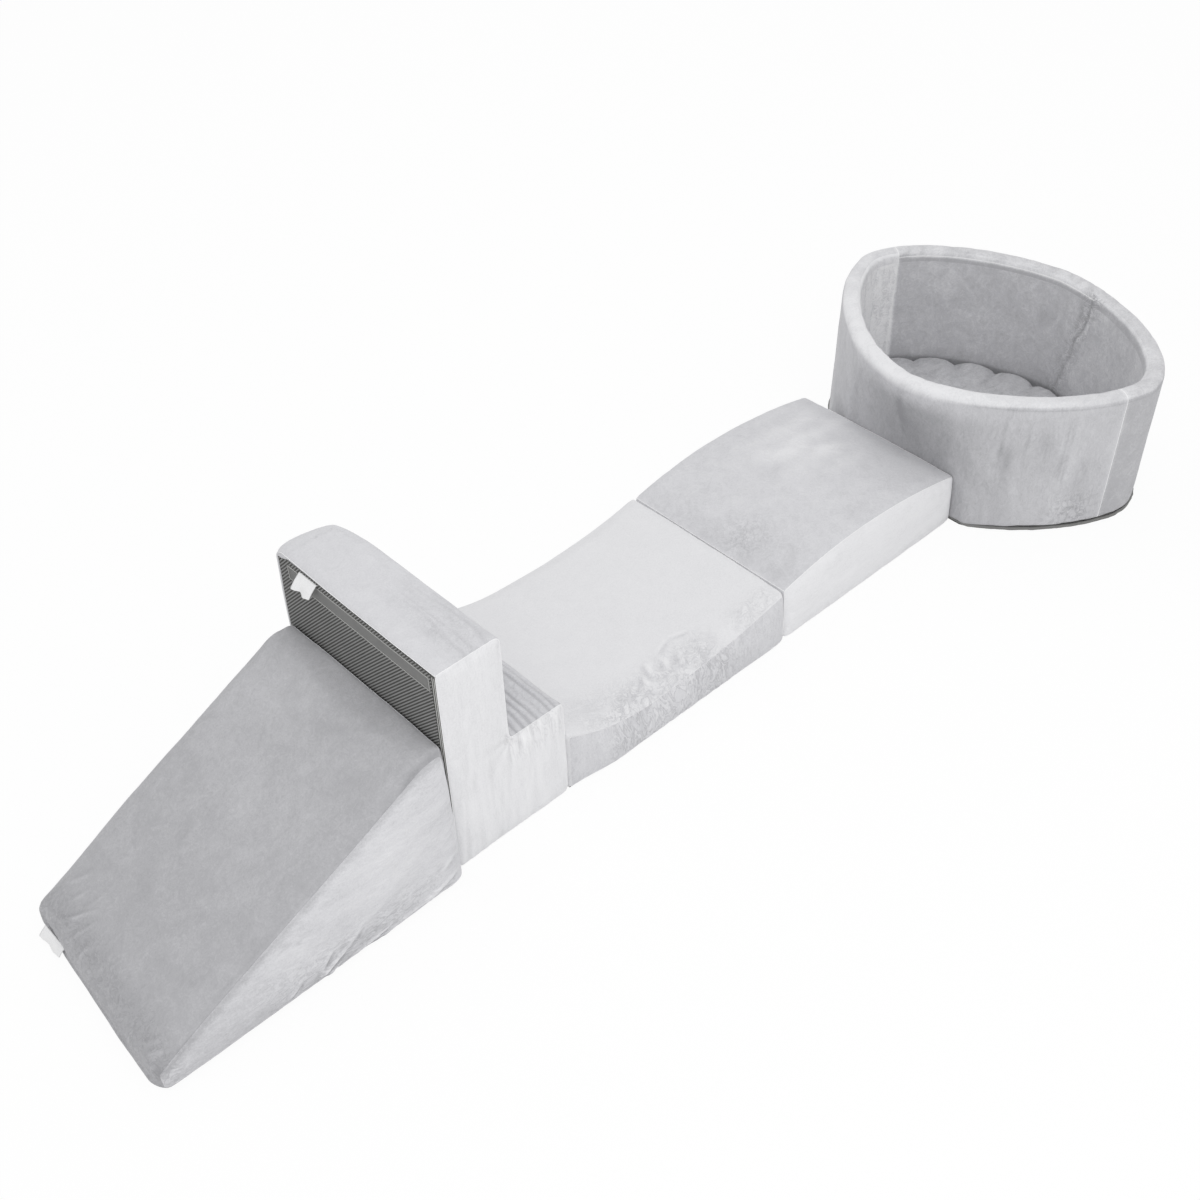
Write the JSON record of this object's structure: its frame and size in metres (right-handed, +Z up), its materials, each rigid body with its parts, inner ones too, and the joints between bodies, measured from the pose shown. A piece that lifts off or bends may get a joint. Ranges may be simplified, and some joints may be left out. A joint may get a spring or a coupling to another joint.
{
  "type": "soft play foam climber",
  "caption": "Soft play row of velvet-covered foam modules: ramp, stair block, dipped and crested wave blocks, and a soft oval ball pit with a padded floor.",
  "frame": {"origin": "on the floor, under the middle of the box that holds all five modules", "axes": "+X along the row from the ramp's low end to the ball pit, +Y across the row towards its far side, +Z up"},
  "size_m": [3.322, 1.0064, 0.618],
  "materials": {
    "ramp_velvet": "light grey short-pile polyester velvet",
    "velvet": "pale grey short-pile polyester velvet",
    "pit_velvet": "light grey short-pile polyester velvet, soft and creased",
    "pad_velvet": "light grey short-pile polyester velvet, tufted",
    "foam": null,
    "base_cloth": "dark grey non-slip base cloth with diagonal ribs",
    "zip_strip": "smooth dark grey woven cover strip",
    "zip_tape": "dark grey woven zip tape with a nylon coil",
    "slider_metal": "nickel-plated zinc",
    "satin": "bare white woven satin"
  },
  "bodies": {
    "wave_dip": {"wave_dip_foam_core": "foam", "wave_dip_cover": "velvet", "wave_dip_base_cloth": "base_cloth", "wave_dip_zip_strip": "zip_strip", "wave_dip_zip_front_tape": "zip_tape", "wave_dip_zip_rear_tape": "zip_tape"},
    "wave_dip_zip_slider": {"wave_dip_zip_slider": "slider_metal"},
    "stair": {"stair_foam_core": "foam", "stair_cover": "velvet", "stair_base_cloth": "base_cloth", "stair_zip_strip": "zip_strip", "stair_zip_front_tape": "zip_tape", "stair_zip_rear_tape": "zip_tape", "stair_side_label": "satin"},
    "stair_zip_slider": {"stair_zip_slider": "slider_metal"},
    "ramp": {"ramp_foam_core": "foam", "ramp_cover": "ramp_velvet", "ramp_base_cloth": "base_cloth", "ramp_zip_strip": "zip_strip", "ramp_zip_front_tape": "zip_tape", "ramp_zip_rear_tape": "zip_tape", "ramp_end_label": "satin"},
    "ramp_zip_slider": {"ramp_zip_slider": "slider_metal"},
    "wave_crest": {"wave_crest_foam_core": "foam", "wave_crest_cover": "velvet", "wave_crest_base_cloth": "base_cloth", "wave_crest_zip_strip": "zip_strip", "wave_crest_zip_front_tape": "zip_tape", "wave_crest_zip_rear_tape": "zip_tape"},
    "wave_crest_zip_slider": {"wave_crest_zip_slider": "slider_metal"},
    "pit": {"pit_cover": "pit_velvet", "pit_left_foam": "foam", "pit_right_foam": "foam", "pit_base_cloth": "base_cloth"},
    "floor_pad": {"floor_pad_cover": "pad_velvet", "floor_pad_filling": "foam", "floor_pad_base_cloth": "base_cloth", "floor_pad_zip_strip": "zip_strip", "floor_pad_zip_front_tape": "zip_tape", "floor_pad_zip_rear_tape": "zip_tape"},
    "floor_pad_zip_slider": {"floor_pad_zip_slider": "slider_metal"}
  },
  "joints": [
    {"name": "stair_pulls_away", "type": "slide", "parent": "wave_dip", "child": "stair", "axis": [-1, 0, 0], "range_m": [0, 0.3]},
    {"name": "ramp_pulls_away", "type": "slide", "parent": "stair", "child": "ramp", "axis": [-1, 0, 0], "range_m": [0, 0.3]},
    {"name": "wave_crest_pulls_away", "type": "slide", "parent": "wave_dip", "child": "wave_crest", "axis": [1, 0, 0], "range_m": [0, 0.3]},
    {"name": "pit_pulls_away", "type": "slide", "parent": "wave_crest", "child": "pit", "axis": [1, 0, 0], "range_m": [0, 0.3]},
    {"name": "floor_pad_lifts_out", "type": "slide", "parent": "pit", "child": "floor_pad", "axis": [0, 0, 1], "range_m": [0, 0.45]},
    {"name": "ramp_zip", "type": "slide", "parent": "ramp", "child": "ramp_zip_slider", "axis": [0, 1, 0], "range_m": [0, 0.482]},
    {"name": "stair_zip", "type": "slide", "parent": "stair", "child": "stair_zip_slider", "axis": [0, -1, 0], "range_m": [0, 0.482]},
    {"name": "wave_dip_zip", "type": "slide", "parent": "wave_dip", "child": "wave_dip_zip_slider", "axis": [0, 1, 0], "range_m": [0, 0.482]},
    {"name": "wave_crest_zip", "type": "slide", "parent": "wave_crest", "child": "wave_crest_zip_slider", "axis": [0, 1, 0], "range_m": [0, 0.482]},
    {"name": "floor_pad_zip", "type": "slide", "parent": "floor_pad", "child": "floor_pad_zip_slider", "axis": [0, 1, 0], "range_m": [0, 0.396]}
  ]
}
